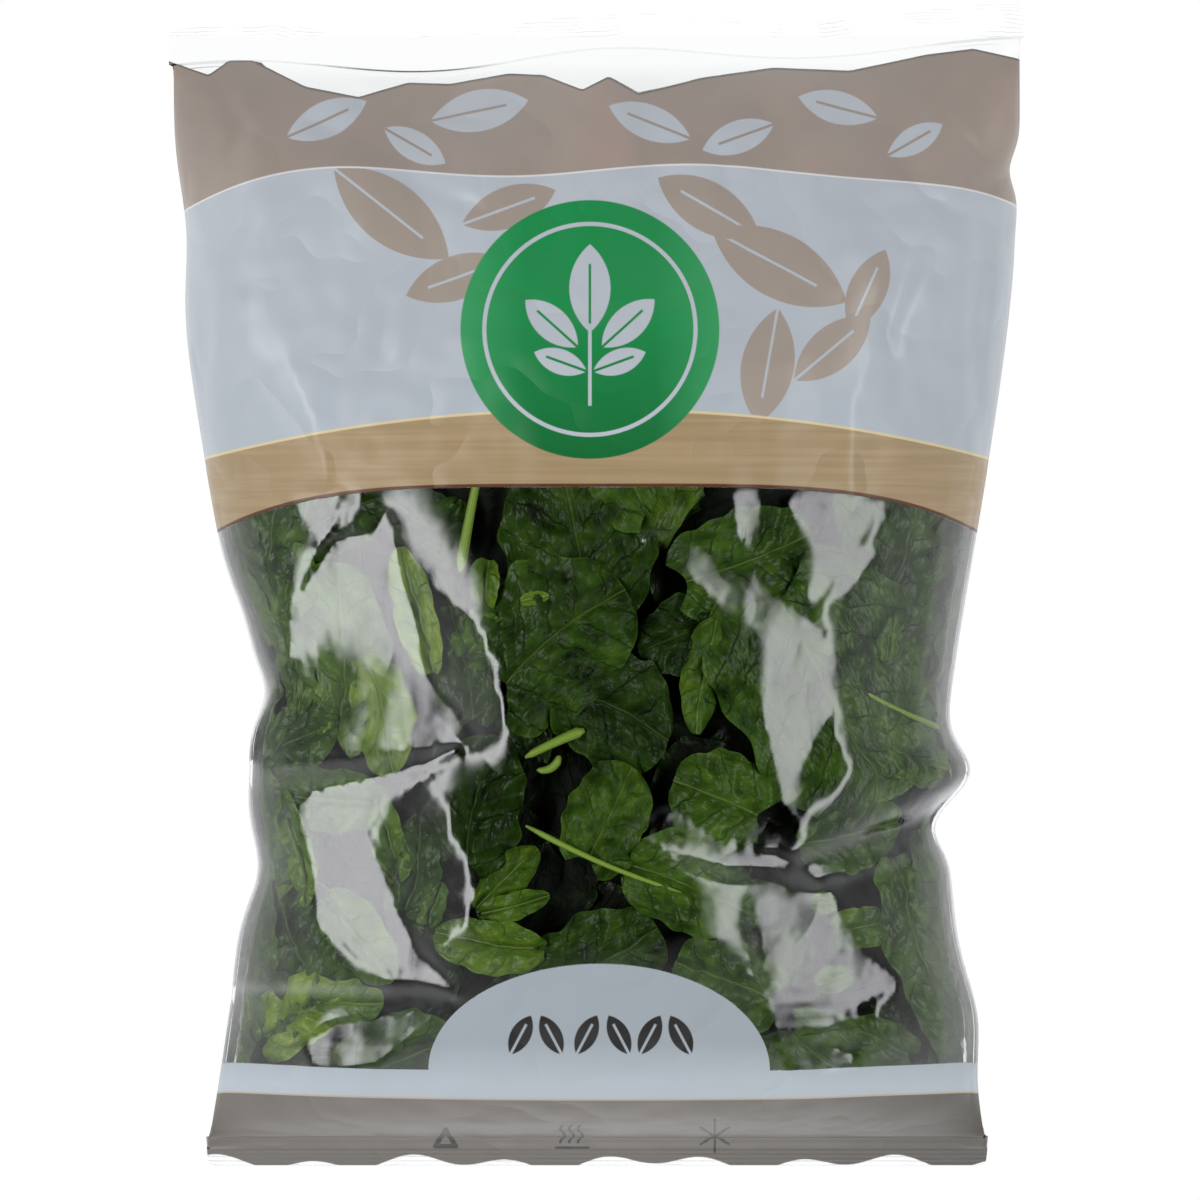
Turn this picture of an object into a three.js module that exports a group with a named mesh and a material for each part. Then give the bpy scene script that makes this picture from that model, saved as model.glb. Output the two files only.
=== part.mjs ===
// A sealed film bag of washed spinach, lying on its back with its printed face up.
//
// Units are millimetres. X runs across the bag, +Y points to its top seal and +Z is up, away from the table.
// The film is pillow shaped: a tube drawn flat in a seal at each end and pushed out by the leaves inside.
// It is wide at the top seal, pinched at the waist, creased from both sides, and blunt at the bottom, where the
// seal is bent down to the table. The underside is flat where the bag rests.
import * as THREE from "three";

// Driving dimensions
const LENGTH = 398.5; // from the bottom seal's edge to the top seal's edge
const TOP_HALF_WIDTH = 145.5; // at the top seal, which is nearly the flat width of the film tube
const WAIST_HALF_WIDTH = 119.5; // where the leaves push the faces furthest apart
const BOTTOM_HALF_WIDTH = 136;
const THICKNESS = 92; // from the table to the crown of the face
const SIDE_HEIGHT = 36; // of the fold where the face turns into the back
const SEAL_HEIGHT = 34; // of the top seal above the table
const SEAL_THICKNESS = 1.2;
const TOP_SEAL = 12.5; // length of the crimped strip at the top
const BOTTOM_SEAL = 11; // as seen from above, because the strip slopes down
const BOTTOM_SEAL_HEIGHT = 14; // where the bottom strip leaves the bag
const TILT_OF_TOP_SEAL = 0.18; // drop for each millimetre towards its free edge

// Stations along the bag, measured from near its middle
const TOP_EDGE = 197.5;
const BOTTOM_EDGE = TOP_EDGE - LENGTH;
const BODY_TOP = TOP_EDGE - TOP_SEAL;
const BODY_BOTTOM = BOTTOM_EDGE + BOTTOM_SEAL;
const WAIST = -58;
const WIDEST_AT_TOP = 161;
const CROWN_FROM = -90; // the face is at its full height from here
const CROWN_TO = 60; // to here
const FLAT_FROM = -176; // the underside lies on the table from here
const FLAT_TO = 122; // to here
const PRESSED = 3; // depth of the round underside that the table takes up

// How finely the faces are divided
const COLUMNS = 46;
const BODY_ROWS = 50;
const SEAL_ROWS = 2;

// Folds that run in from the side of the bag to a pointed tip on its face. Each goes through its points, from the
// side inwards, is deepest at the side, and reaches further on its open side than on its steep one.
const FOLDS = [
  { path: [[-124, -62], [-82, -57], [-40, -51]], depth: 11, above: 18, below: 12 },
  { path: [[126, -74], [66, -94], [12, -84]], depth: 12, above: 12, below: 17 },
  { path: [[-130, -140], [-88, -137], [-45, -136]], depth: 9, above: 12, below: 16 },
  { path: [[141, 118], [112, 128], [84, 126]], depth: 5, above: 12, below: 12 },
];

// Places where the side itself is pushed in, or out where the depth is below 0
const DENTS = [
  { side: -1, at: 120, depth: 3, reach: 22 },
  { side: -1, at: -18, depth: 5, reach: 20 },
  { side: -1, at: -37, depth: 6, reach: 11 },
  { side: -1, at: -97, depth: 5, reach: 14 },
  { side: 1, at: 141, depth: 3.5, reach: 7 },
  { side: 1, at: -63, depth: -9, reach: 10 },
  { side: 1, at: -83, depth: 5, reach: 8 },
  { side: 1, at: -147, depth: -4, reach: 18 },
];

// Leaves that press against the film from inside
const LEAF_BUMPS = 44;
const LEAF_FROM = -158;
const LEAF_TO = 24;
const LEAF_WIDTH = 46;
const LEAF_LENGTH = 62;
const LEAF_RELIEF = 3.4;
const SEED = 7;

const clamp = (t) => Math.min(1, Math.max(0, t));
const smooth = (t) => clamp(t) ** 2 * (3 - 2 * clamp(t));

// A repeatable draw of numbers from 0 to 1
function draws(seed) {
  let state = seed;
  return () => {
    state = (state + 0x6d2b79f5) | 0;
    let mixed = Math.imul(state ^ (state >>> 15), 1 | state);
    mixed = (mixed + Math.imul(mixed ^ (mixed >>> 7), 61 | mixed)) ^ mixed;
    return ((mixed ^ (mixed >>> 14)) >>> 0) / 2 ** 32;
  };
}

// Half the bag's width at y, on one side: -1 is left and 1 is right
function halfWidth(y, side) {
  const up = clamp((y - WAIST) / (WIDEST_AT_TOP - WAIST));
  const down = clamp((WAIST - y) / (WAIST - BOTTOM_EDGE));
  const opening =
    y > WAIST
      ? (TOP_HALF_WIDTH - WAIST_HALF_WIDTH) * Math.sin((up * Math.PI) / 2) ** 1.3
      : (BOTTOM_HALF_WIDTH - WAIST_HALF_WIDTH) * down ** 1.7;
  const pushed = DENTS.filter((dent) => dent.side === side).reduce(
    (sum, dent) => sum + dent.depth * Math.exp(-(((y - dent.at) / dent.reach) ** 2)),
    0,
  );
  return WAIST_HALF_WIDTH + opening - pushed;
}

// Height of the fold between face and back
function sideHeight(y) {
  const fromBottom = smooth((y - BODY_BOTTOM) / (CROWN_FROM - BODY_BOTTOM));
  const toTop = smooth((y - CROWN_TO) / (BODY_TOP - CROWN_TO));
  return BOTTOM_SEAL_HEIGHT + (SIDE_HEIGHT - BOTTOM_SEAL_HEIGHT) * fromBottom + (SEAL_HEIGHT - SIDE_HEIGHT) * toTop;
}

// Height of the face along the bag's middle line
function crownHeight(y) {
  const toTop = clamp((y - CROWN_TO) / (BODY_TOP - CROWN_TO));
  const toBottom = clamp((CROWN_FROM - y) / (CROWN_FROM - BODY_BOTTOM));
  const fullness = (1 - toTop ** 2.2) ** 0.8 * (1 - toBottom ** 2.4) ** 0.62;
  const seal = sideHeight(y);
  return seal + (THICKNESS - seal) * fullness;
}

// Height of the underside along the middle line, before the table flattens it
function keelHeight(y) {
  const toTop = clamp((y - FLAT_TO) / (BODY_TOP - FLAT_TO));
  const toBottom = clamp((FLAT_FROM - y) / (FLAT_FROM - BODY_BOTTOM));
  return SEAL_HEIGHT * toTop ** 1.5 + BOTTOM_SEAL_HEIGHT * toBottom ** 2;
}

// How far a point is along a fold, from 0 to 1, and how far from it
function placeOnFold(path, x, y) {
  const spans = path.length - 1;
  let best = { distance: Infinity, over: 0, along: 0 };
  for (let k = 0; k < spans; k++) {
    const [ax, ay] = path[k];
    const [bx, by] = path[k + 1];
    const span = (bx - ax) ** 2 + (by - ay) ** 2;
    const share = clamp(((x - ax) * (bx - ax) + (y - ay) * (by - ay)) / span);
    const over = y - ay - share * (by - ay);
    const distance = Math.hypot(x - ax - share * (bx - ax), over);
    if (distance < best.distance) best = { distance, over, along: (k + share) / spans };
  }
  return best;
}

// How far the folds press the face down at a point
function foldDepth(x, y) {
  return FOLDS.reduce((sum, { path, depth, above, below }) => {
    const { distance, over, along } = placeOnFold(path, x, y);
    const reach = over > 0 ? above : below;
    return sum + depth * (1 - 0.8 * along) * clamp(1 - distance / reach) ** 1.4;
  }, 0);
}

// Positions, turns and sizes of the leaves that push the film out
function leafBumps() {
  const draw = draws(SEED);
  return Array.from({ length: LEAF_BUMPS }, (_, k) => {
    const y = LEAF_FROM + ((k + draw()) / LEAF_BUMPS) * (LEAF_TO - LEAF_FROM);
    const x = (draw() * 2 - 1) * (halfWidth(y, 1) - 12);
    const turn = draw() * Math.PI;
    const size = 0.7 + 0.5 * draw();
    const rise = LEAF_RELIEF * (0.4 + 0.6 * draw());
    return { x, y, cos: Math.cos(turn), sin: Math.sin(turn), size, rise };
  });
}

// How far the leaves push the face up at a point: the highest leaf shows, with a step at its edge
function leafRelief(bumps, x, y) {
  return bumps.reduce((highest, { x: cx, y: cy, cos, sin, size, rise }) => {
    const along = ((x - cx) * cos + (y - cy) * sin) / ((LEAF_LENGTH / 2) * size);
    const across = ((y - cy) * cos - (x - cx) * sin) / ((LEAF_WIDTH / 2) * size);
    return Math.max(highest, rise * smooth((1 - along ** 2 - across ** 2) * 1.6));
  }, 0);
}

// The sway of the top seal, up and down and along the bag, at a share u of the half width
const sealRise = (u) => 4 * Math.sin(5.2 * u + 0.6) + 2 * Math.sin(11 * u + 2);
const sealSlip = (u) => 4.5 * u + 2.6 * Math.sin(7 * u + 1.3) - 5.4;

const bumps = leafBumps();

// One point of the face or the back. u runs from -1 at the left side to 1 at the right.
function filmPoint(y, u, isFace) {
  const x = u * halfWidth(y, Math.sign(u) || 1);
  const nearTop = smooth((y - CROWN_TO) / (BODY_TOP - CROWN_TO)) ** 2;
  const middle = sideHeight(y) + sealRise(u) * nearTop;
  const skin = (SEAL_THICKNESS / 2) * (1 - Math.abs(u) ** 40);
  const slipped = y + sealSlip(u) * nearTop;
  if (y >= BODY_TOP) {
    const drop = TILT_OF_TOP_SEAL * (y - BODY_TOP);
    return [x, slipped, middle - drop + (isFace ? skin : -skin)];
  }
  if (y <= BODY_BOTTOM) {
    const left = (y - BOTTOM_EDGE) / BOTTOM_SEAL;
    const height = SEAL_THICKNESS / 2 + (BOTTOM_SEAL_HEIGHT - SEAL_THICKNESS / 2) * left;
    return [x, y, height + (isFace ? skin : -skin)];
  }
  if (isFace) {
    const bulge = (1 - Math.abs(u) ** 2.5) ** 0.5;
    const endFade = smooth(Math.min(y - BODY_BOTTOM, BODY_TOP - y) / 25);
    const relief = (leafRelief(bumps, x, y) - foldDepth(x, y)) * endFade * bulge;
    return [x, slipped, middle + skin + (crownHeight(y) - sideHeight(y)) * bulge + relief];
  }
  const belly = (1 - Math.abs(u) ** 4) ** 0.56;
  const underside = middle - skin - (sideHeight(y) - keelHeight(y) + PRESSED) * belly;
  return [x, slipped, Math.max(0, underside)];
}

// Rows along the bag, closer together where the ends curve in
function rowPlaces() {
  const rows = [];
  for (let k = 0; k < SEAL_ROWS; k++) rows.push(BOTTOM_EDGE + (BOTTOM_SEAL * k) / SEAL_ROWS);
  for (let k = 0; k <= BODY_ROWS; k++) {
    const even = k / BODY_ROWS;
    const eased = (1 - Math.cos(Math.PI * even)) / 2;
    rows.push(BODY_BOTTOM + (BODY_TOP - BODY_BOTTOM) * (0.55 * even + 0.45 * eased));
  }
  for (let k = 1; k <= SEAL_ROWS; k++) rows.push(BODY_TOP + (TOP_SEAL * k) / SEAL_ROWS);
  return rows;
}

// The closed skin of the bag: face and back share their side edges, and a strip closes each end
function bagGeometry() {
  const rows = rowPlaces();
  const positions = [];
  const face = [];
  const back = [];
  for (const y of rows) {
    const faceRow = [];
    const backRow = [];
    for (let i = 0; i <= COLUMNS; i++) {
      const u = Math.sin((Math.PI / 2) * ((2 * i) / COLUMNS - 1));
      faceRow.push(positions.push(filmPoint(y, u, true)) - 1);
      const onSide = i === 0 || i === COLUMNS;
      backRow.push(onSide ? faceRow[i] : positions.push(filmPoint(y, u, false)) - 1);
    }
    face.push(faceRow);
    back.push(backRow);
  }
  const triangles = [];
  const quad = (a, b, c, d) => {
    for (const corners of [[a, b, c], [a, c, d]]) {
      if (new Set(corners).size === 3) triangles.push(...corners);
    }
  };
  for (let j = 0; j + 1 < rows.length; j++) {
    for (let i = 0; i < COLUMNS; i++) {
      quad(face[j][i], face[j][i + 1], face[j + 1][i + 1], face[j + 1][i]);
      quad(back[j][i + 1], back[j][i], back[j + 1][i], back[j + 1][i + 1]);
    }
  }
  const last = rows.length - 1;
  for (let i = 0; i < COLUMNS; i++) {
    quad(back[0][i], back[0][i + 1], face[0][i + 1], face[0][i]);
    quad(face[last][i], face[last][i + 1], back[last][i + 1], back[last][i]);
  }
  const geometry = new THREE.BufferGeometry();
  geometry.setAttribute("position", new THREE.Float32BufferAttribute(positions.flat(), 3));
  geometry.setIndex(triangles);
  return geometry;
}

// Puts the middle of the bag's outline over the origin, and its underside on the table
function centred(geometry) {
  geometry.computeBoundingBox();
  const { min, max } = geometry.boundingBox;
  geometry.translate(-(min.x + max.x) / 2, -(min.y + max.y) / 2, -min.z);
  geometry.computeVertexNormals();
  return geometry;
}

const spinachGreen = new THREE.MeshStandardMaterial({ color: 0x3f5a33, roughness: 0.3, metalness: 0 });

const filledBag = new THREE.Mesh(centred(bagGeometry()), spinachGreen);
filledBag.name = "filled_bag";

const bagOfSpinach = new THREE.Group();
bagOfSpinach.add(filledBag);

export default bagOfSpinach;
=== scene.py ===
"""A sealed film bag of washed spinach on its back: the printed film, the leaves inside it, and the studio."""

import math
import random

import bmesh
import bpy
import numpy as np
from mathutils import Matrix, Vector, noise
from mathutils.bvhtree import BVHTree


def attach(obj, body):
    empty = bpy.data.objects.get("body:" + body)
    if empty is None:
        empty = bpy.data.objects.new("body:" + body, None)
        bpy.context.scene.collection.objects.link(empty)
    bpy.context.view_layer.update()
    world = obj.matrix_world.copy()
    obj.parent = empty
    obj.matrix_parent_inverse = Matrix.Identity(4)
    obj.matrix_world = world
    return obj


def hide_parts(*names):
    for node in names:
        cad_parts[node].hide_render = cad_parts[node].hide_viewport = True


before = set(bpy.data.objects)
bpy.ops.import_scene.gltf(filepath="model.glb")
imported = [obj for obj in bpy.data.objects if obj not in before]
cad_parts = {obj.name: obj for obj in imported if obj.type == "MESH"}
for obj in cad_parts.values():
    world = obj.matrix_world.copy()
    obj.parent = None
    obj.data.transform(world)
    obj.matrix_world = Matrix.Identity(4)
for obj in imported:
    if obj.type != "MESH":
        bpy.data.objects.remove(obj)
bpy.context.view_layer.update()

MM = 0.001

# The film tube as it is cut, in millimetres
FLAT_WIDTH = 296
FLAT_BODY = 418  # between the two seals
TOP_SEAL = 12
BOTTOM_SEAL = 14
BODY_END = BOTTOM_SEAL + FLAT_BODY
COLUMNS = 60
SEAL_ROWS = 3
ROWS = round(FLAT_BODY * COLUMNS / FLAT_WIDTH)
SAME = 0.01  # places as close as this are one place

# The filled bag as it lies, in millimetres
TOP_EDGE = 197.5
BODY_TOP = 185
BODY_BOTTOM = -190
TOP_HALF_WIDTH = 145.5
WAIST_HALF_WIDTH = 119.5
BOTTOM_HALF_WIDTH = 136
THICKNESS = 92
SIDE_HEIGHT = 36
SEAL_HEIGHT = 34
BOTTOM_SEAL_HEIGHT = 14
WAIST = -58
WIDEST_AT_TOP = 161
CROWN_FROM = -90
CROWN_TO = 60
FLAT_FROM = -176
FLAT_TO = 122
EYE_HEIGHT = 2.0  # of the camera above the table, in metres
TOUCH = 1.2  # the film's height where it lies on the table
LOWEST = 0.0009  # height of the finished film above the table, in metres
FILM_CLEAR = 0.0006  # how far the leaves stay under the film, in metres

# Places where the side is pushed in, or out where the depth is below 0:
# side, place along the bag, depth, reach
DENTS = (
    (-1, 120, 3, 22),
    (-1, -18, 5, 20),
    (-1, -37, 6, 11),
    (-1, -97, 5, 14),
    (1, 141, 3.5, 7),
    (1, -63, -9, 10),
    (1, -83, 5, 8),
    (1, -147, -4, 18),
)

# Parts of the face that lean towards the lights and shine: their corners on the face
SHINE = (
    ((-65, 31), (-75, 16), (-88, 14), (-102, -10), (-101, -23), (-110, -39), (-119, -60), (-66, -55),
     (-39, -51), (-56, -31), (-59, -14), (-66, 6), (-70, 24)),
    ((-39, -52), (-70, -72), (-76, -82), (-66, -107), (-58, -123), (-45, -137), (-78, -125), (-93, -113),
     (-95, -101), (-101, -76), (-95, -70), (-66, -64)),
    ((-45, -139), (-60, -148), (-74, -162), (-97, -164), (-98, -153), (-86, -147), (-64, -143)),
    ((-105, 31), (-84, 30), (-92, 13)),
    ((16, 16), (37, 11), (51, 2), (68, -9), (74, -16), (79, -31), (76, -47), (68, -60), (63, -72), (71, -83),
     (62, -74), (59, -62), (55, -47), (56, -31), (57, -16), (45, -8), (24, 6)),
    ((43, 29), (55, 29), (55, 18), (47, 13)),
    ((61, 28), (94, 26), (90, 17), (83, 6), (74, -6), (70, -4), (75, 8), (69, 18)),
    ((13, -83), (24, -76), (45, -87), (63, -91), (65, -94), (43, -94), (24, -88)),
    ((67, -94), (100, -89), (126, -68), (117, -78), (102, -92), (72, -99)),
    ((51, -104), (78, -103), (82, -115), (90, -127), (103, -133), (90, -140), (72, -152), (86, -156),
     (88, -164), (65, -164), (60, -150), (56, -133), (52, -113)),
)

# Folds from the side of the face to a pointed tip: points from the side inwards, depth, reach above and below
FOLDS = (
    (((-124, -62), (-82, -58), (-40, -51)), 7.0, 5, 9),
    (((126, -74), (66, -95), (12, -84)), 8.0, 7, 12),
    (((-130, -140), (-88, -138), (-45, -137)), 6.0, 5, 10),
    (((141, 118), (112, 128), (84, 126)), 4.0, 10, 10),
)

# Slight creases in the printed part: points, and depth
CREASES = (
    (((-131, 173), (-120, 154), (-124, 143)), 2.6),
    (((-101, 158), (-79, 149), (-60, 139)), 2.2),
    (((-48, 168), (-53, 157)), 2.0),
    (((-81, 143), (-43, 126), (-33, 122)), 1.8),
    (((32, 152), (42, 141), (57, 90)), 1.6),
    (((120, 176), (113, 161), (132, 142)), 2.6),
    (((-138, 119), (-132, 86), (-134, 44)), 3.0),
    (((-69, 93), (-76, 63), (-84, 36)), 1.6),
    (((132, 120), (127, 86), (131, 36)), 3.2),
    (((86, 160), (70, 150), (48, 156)), 2.0),
    (((108, 118), (96, 84), (104, 52)), 1.6),
)


def clamp(t, low=0.0, high=1.0):
    return min(high, max(low, t))


def smooth(t):
    t = clamp(t)
    return t * t * (3 - 2 * t)


def mix(a, b, t):
    return a + (b - a) * t


def placed(name, bm):
    """A new object in the scene, made from a mesh that is done."""
    mesh = bpy.data.meshes.new(name)
    bm.to_mesh(mesh)
    bm.free()
    piece = bpy.data.objects.new(name, mesh)
    bpy.context.scene.collection.objects.link(piece)
    return piece


def blended(grid, row, column, next_column):
    """The value between four neighbours in a grid, for a row and a column that may lie between whole ones."""
    j, i = int(row), math.floor(column)
    v, u = row - j, column - i
    i, k = next_column(i)

    def in_row(j):
        return grid[j, i] * (1 - u) + grid[j, k] * u

    return in_row(j) * (1 - v) + in_row(j + 1) * v


# The outline of the filled bag


def half_width(y, side):
    up = clamp((y - WAIST) / (WIDEST_AT_TOP - WAIST))
    down = clamp((WAIST - y) / (WAIST + TOP_EDGE))
    if y > WAIST:
        opening = (TOP_HALF_WIDTH - WAIST_HALF_WIDTH) * math.sin(up * math.pi / 2) ** 1.3
    else:
        opening = (BOTTOM_HALF_WIDTH - WAIST_HALF_WIDTH) * down**1.7
    pushed = sum(depth * math.exp(-(((y - at) / reach) ** 2)) for s, at, depth, reach in DENTS if s == side)
    return WAIST_HALF_WIDTH + opening - pushed


def side_height(y):
    from_bottom = smooth((y - BODY_BOTTOM) / (CROWN_FROM - BODY_BOTTOM))
    to_top = smooth((y - CROWN_TO) / (BODY_TOP - CROWN_TO))
    rise = (SIDE_HEIGHT - BOTTOM_SEAL_HEIGHT) * from_bottom
    return BOTTOM_SEAL_HEIGHT + rise + (SEAL_HEIGHT - SIDE_HEIGHT) * to_top


def crown_height(y):
    to_top = clamp((y - CROWN_TO) / (BODY_TOP - CROWN_TO))
    to_bottom = clamp((CROWN_FROM - y) / (CROWN_FROM - BODY_BOTTOM))
    fullness = (1 - to_top**2.2) ** 0.8 * (1 - to_bottom**2.4) ** 0.62
    seal = side_height(y)
    return seal + (THICKNESS - seal) * fullness


def keel_height(y):
    to_top = clamp((y - FLAT_TO) / (BODY_TOP - FLAT_TO))
    to_bottom = clamp((FLAT_FROM - y) / (FLAT_FROM - BODY_BOTTOM))
    return SEAL_HEIGHT * to_top**1.5 + BOTTOM_SEAL_HEIGHT * to_bottom**2


def seal_rise(u):
    return 4 * math.sin(5.2 * u + 0.6) + 2 * math.sin(11 * u + 2)


def seal_slip(u):
    return 4.5 * u + 2.6 * math.sin(7 * u + 1.3) - 5.4


def filled_place(u, along, side, ripples):
    """A point of the filled bag, for a share u across and a length from the flat tube's bottom edge."""
    share = clamp((along - BOTTOM_SEAL) / FLAT_BODY)
    y = mix(BODY_BOTTOM, BODY_TOP, share)
    near_top = smooth((y - CROWN_TO) / (BODY_TOP - CROWN_TO)) ** 2
    slip = seal_slip(u) * near_top
    x = u * half_width(y, -1 if u < 0 else 1)
    middle = side_height(y) + seal_rise(u) * near_top
    if along > BODY_END - SAME:
        past = along - BODY_END
        return Vector((x, y + past + slip, middle - 0.18 * past))
    if along < BOTTOM_SEAL + SAME:
        left = clamp(along / BOTTOM_SEAL)
        return Vector((x, y - 11 * (1 - left), TOUCH + (BOTTOM_SEAL_HEIGHT - TOUCH) * left))
    if side > 0:
        z = middle + (crown_height(y) - side_height(y)) * (1 - abs(u) ** 2.5) ** 0.5
    else:
        z = middle - (side_height(y) - keel_height(y)) * (1 - abs(u) ** 4) ** 0.56
    z += 1.5 * near_top * (1 - near_top) * 4 * math.sin(0.16 * x + 0.012 * y) * (1 if side > 0 else 0.5)
    fade = clamp(min(share, 1 - share) * 8)
    for k, (turn, pitch, start, height) in enumerate(ripples):
        sign = -1 if side < 0 and k % 2 else 1
        z += sign * fade * height * math.sin(pitch * (x * math.cos(turn) + y * math.sin(turn)) + start)
    return Vector((x, y + slip, max(TOUCH, z)))


# The film

FILM_FRAMES = 30


def cut_film():
    """The flat tube: two sheets that meet at their sides and are one where they are sealed."""
    bm = bmesh.new()
    across = bm.verts.layers.float.new("flat_x")
    along = bm.verts.layers.float.new("flat_y")
    side = bm.verts.layers.float.new("side")
    rows = ROWS + 2 * SEAL_ROWS
    bmesh.ops.create_grid(bm, x_segments=COLUMNS, y_segments=rows, size=0.5)
    for v in bm.verts:
        row = (v.co.y + 0.5) * rows
        if row <= SEAL_ROWS:
            length = BOTTOM_SEAL * row / SEAL_ROWS
        elif row <= SEAL_ROWS + ROWS:
            length = BOTTOM_SEAL + FLAT_BODY * (row - SEAL_ROWS) / ROWS
        else:
            length = BODY_END + TOP_SEAL * (row - SEAL_ROWS - ROWS) / SEAL_ROWS
        v[across], v[along], v[side] = v.co.x * FLAT_WIDTH, length, 1
        v.co = (v[across], length, 0)

    def in_body(f):
        return all(BOTTOM_SEAL - SAME < v[along] < BODY_END + SAME for v in f.verts)

    copied = bmesh.ops.duplicate(bm, geom=[f for f in bm.faces if in_body(f)])["geom"]
    back = [g for g in copied if isinstance(g, bmesh.types.BMFace)]
    bmesh.ops.reverse_faces(bm, faces=back)
    for v in {v for f in back for v in f.verts}:
        at_side = abs(abs(v[across]) - FLAT_WIDTH / 2) < SAME
        at_end = min(abs(v[along] - BOTTOM_SEAL), abs(v[along] - BODY_END)) < SAME
        if not at_side and not at_end:
            v[side] = -1
            v.co.z = -10
    bmesh.ops.remove_doubles(bm, verts=bm.verts, dist=SAME)
    return bm


def filled_film():
    """The film pushed out by its contents: the flat tube in the filled bag's shape, settled as cloth."""
    draw = random.Random(5)
    between = draw.uniform
    ripples = [
        (between(0, math.tau), between(0.018, 0.08), between(0, math.tau), between(0.3, 0.8))
        for _ in range(26)
    ]
    bm = cut_film()
    across, along, side = (bm.verts.layers.float[name] for name in ("flat_x", "flat_y", "side"))
    flat, filled, sealed = [], [], []
    bm.verts.ensure_lookup_table()
    for v in bm.verts:
        flat.append(Vector((v[across], v[along], 0)) * MM)
        filled.append(filled_place(2 * v[across] / FLAT_WIDTH, v[along], v[side], ripples) * MM)
        sealed.append(v[along] < BOTTOM_SEAL + SAME or v[along] > BODY_END - SAME)
    film = placed("film_bag", bm)
    mesh = film.data
    film.shape_key_add(name="Basis")
    cut = film.shape_key_add(name="Cut")
    film.data.shape_keys.key_blocks["Basis"].data.foreach_set("co", [c for p in filled for c in p])
    mesh.vertices.foreach_set("co", [c for p in filled for c in p])
    cut.data.foreach_set("co", [c for p in flat for c in p])
    mesh.update()
    pins = film.vertex_groups.new(name="seals")
    pins.add([i for i, s in enumerate(sealed) if s], 1.0, "REPLACE")

    bpy.ops.mesh.primitive_plane_add(size=2, location=(0, 0, 0))
    table = bpy.context.object
    table.modifiers.new("table", "COLLISION")
    table.collision.thickness_outer = 0.001

    cloth = film.modifiers.new("film", "CLOTH")
    rules = cloth.settings
    rules.vertex_group_mass = "seals"
    rules.quality, rules.mass, rules.air_damping = 5, 0.1, 3
    rules.tension_stiffness = rules.compression_stiffness = 60
    rules.shear_stiffness, rules.bending_stiffness = 30, 1.5
    rules.tension_damping = rules.compression_damping = rules.shear_damping = 10
    rules.bending_damping = 0.5
    rules.use_pressure, rules.uniform_pressure_force = True, 0.6
    rules.rest_shape_key = cut
    rules.effector_weights.gravity = 0
    cloth.collision_settings.use_collision = True
    cloth.collision_settings.distance_min = 0.001
    scene = bpy.context.scene
    scene.frame_start, scene.frame_end = 1, FILM_FRAMES + 2
    cloth.point_cache.frame_end = FILM_FRAMES + 2
    for step in range(1, FILM_FRAMES + 1):
        scene.frame_set(step)
    settled = bpy.data.meshes.new_from_object(film.evaluated_get(bpy.context.evaluated_depsgraph_get()))
    settled.name = "film_bag"
    bpy.data.objects.remove(film)
    bpy.data.objects.remove(table)
    scene.frame_set(1)
    return settled, filled


def groove(x, y, path, above, below):
    """How far along a path places lie, from 0 to 1, and how close: 1 on it and 0 out of its reach."""
    spans = len(path) - 1
    nearest = np.full(x.shape, np.inf)
    along, over = np.zeros(x.shape), np.zeros(x.shape)
    for k in range(spans):
        (ax, ay), (bx, by) = path[k], path[k + 1]
        run_x, run_y = bx - ax, by - ay
        share = np.clip(((x - ax) * run_x + (y - ay) * run_y) / (run_x**2 + run_y**2), 0, 1)
        gap_x, gap_y = x - ax - run_x * share, y - ay - run_y * share
        gone = np.hypot(gap_x, gap_y)
        closer = gone < nearest
        nearest, along = np.where(closer, gone, nearest), np.where(closer, (k + share) / spans, along)
        over = np.where(closer, gap_y, over)
    reach = np.where(over > 0, above, below)
    return along, np.clip(1 - nearest / (reach * (1.15 - 0.6 * along)), 0, 1)


def fold_dip(x, y):
    """How far the folds and creases press the face in."""
    dip = np.zeros(x.shape)
    for path, depth, above, below in FOLDS:
        along, close = groove(x, y, path, above, below)
        dip += depth * (1 - along) ** 0.8 * close**1.15
    for path, depth in CREASES:
        along, close = groove(x, y, path, 7, 7)
        dip += depth * np.sin(np.pi * (0.15 + 0.8 * along)) * close**1.3
    return dip


def values(mesh, name):
    found = np.zeros(len(mesh.vertices), np.float32)
    mesh.attributes[name].data.foreach_get("value", found)
    return found.astype(float)


def places(mesh):
    found = np.zeros(len(mesh.vertices) * 3, np.float32)
    mesh.vertices.foreach_get("co", found)
    return found.reshape(-1, 3).astype(float)


film_mesh, filled_start = filled_film()
start = np.array([tuple(p) for p in filled_start])
settled = places(film_mesh)
flat_x, flat_y, sheet = (values(film_mesh, name) for name in ("flat_x", "flat_y", "side"))


def keep_outline(points):
    """Widens or narrows the settled film row by row, so that it keeps the bag's outline."""
    x, y = points[:, 0] / MM, points[:, 1] / MM
    ends = np.array([smooth((v - BODY_BOTTOM) / 12) * smooth((BODY_TOP - 4 - v) / 10) for v in y])
    rows = np.unique(np.round(flat_y, 2))
    for side in (-1, 1):
        here = x * side > 0
        at, share = [], []
        for row in rows:
            ring = np.flatnonzero(here & (abs(flat_y - row) < 0.02))
            widest = ring[np.argmax(abs(x[ring]))]
            at.append(y[widest])
            share.append(half_width(y[widest], side) / abs(x[widest]))
        order = np.argsort(at)
        found = np.interp(y[here], np.array(at)[order], np.array(share)[order])
        points[here, 0] *= 1 + (found - 1) * ends[here]


keep_outline(settled)
film_mesh.vertices.foreach_set("co", settled.ravel())
film_mesh.update()

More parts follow.
